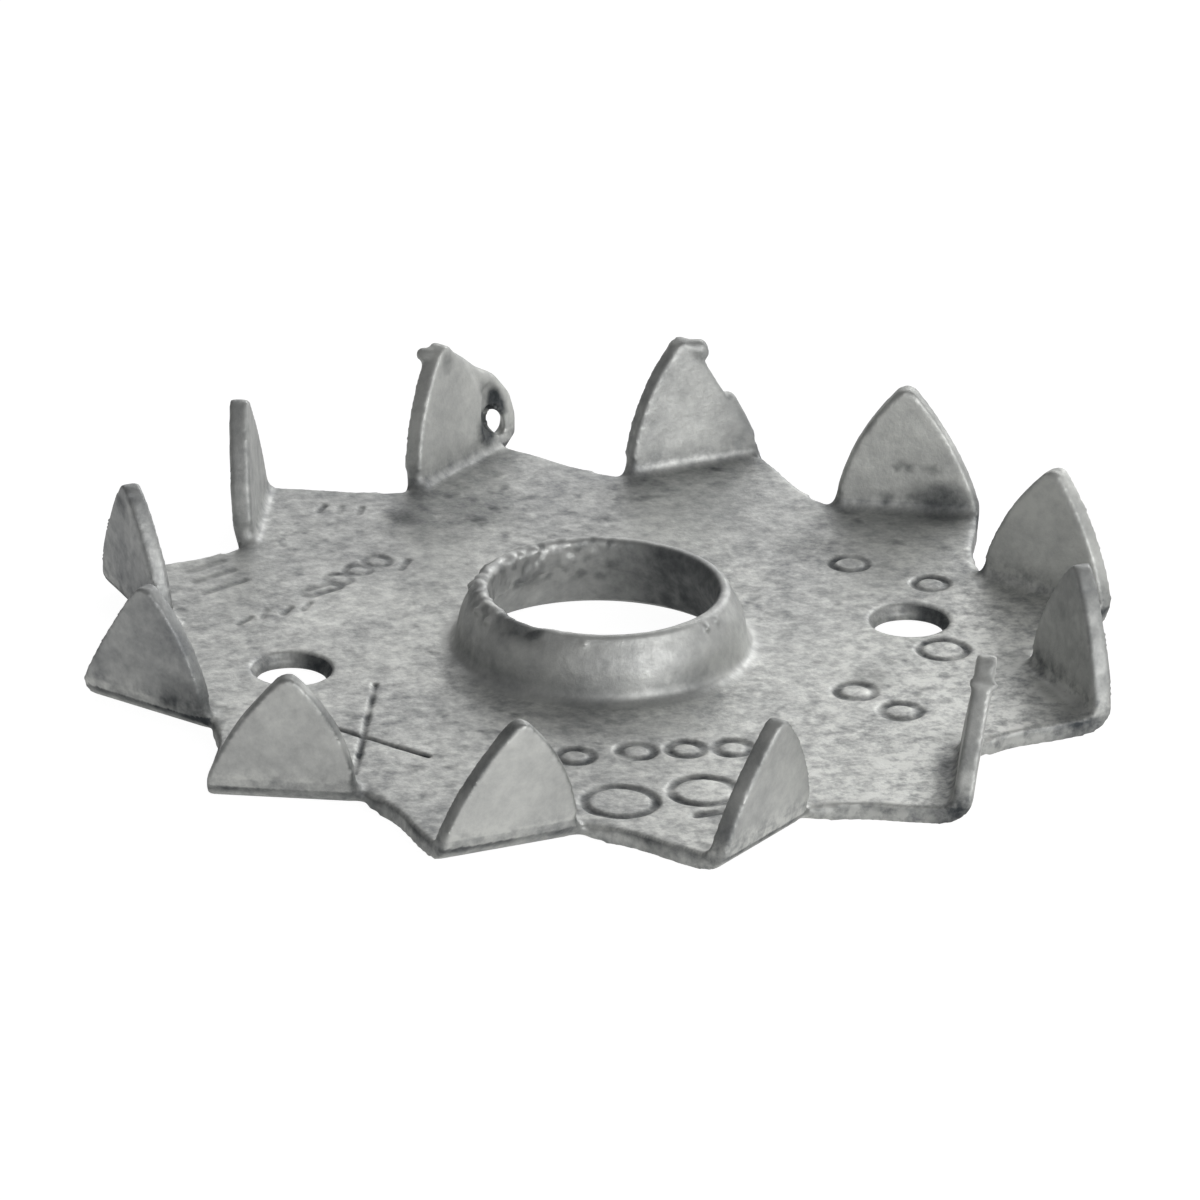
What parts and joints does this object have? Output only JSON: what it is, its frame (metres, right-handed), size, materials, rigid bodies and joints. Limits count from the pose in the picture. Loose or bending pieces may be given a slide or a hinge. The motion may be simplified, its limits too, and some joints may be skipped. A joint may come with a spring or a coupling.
{
  "type": "toothed-plate timber connector",
  "caption": "Round pressed-steel timber connector: a plate with a ring of triangular teeth folded up from its edge, a collared bolt hole in the middle and nail holes beside it.",
  "frame": {"origin": "on the bolt axis, in the plane of the plate's underside", "axes": "+Z along the bolt axis, the way the teeth and the collar point; the two nail holes lie on the X axis"},
  "size_m": [0.075, 0.075, 0.0104],
  "materials": {
    "galvanised_steel": "hot-dip galvanised, frosted light grey with uneven zinc"
  },
  "bodies": {
    "root": {"toothed_plate": "galvanised_steel"}
  },
  "joints": []
}
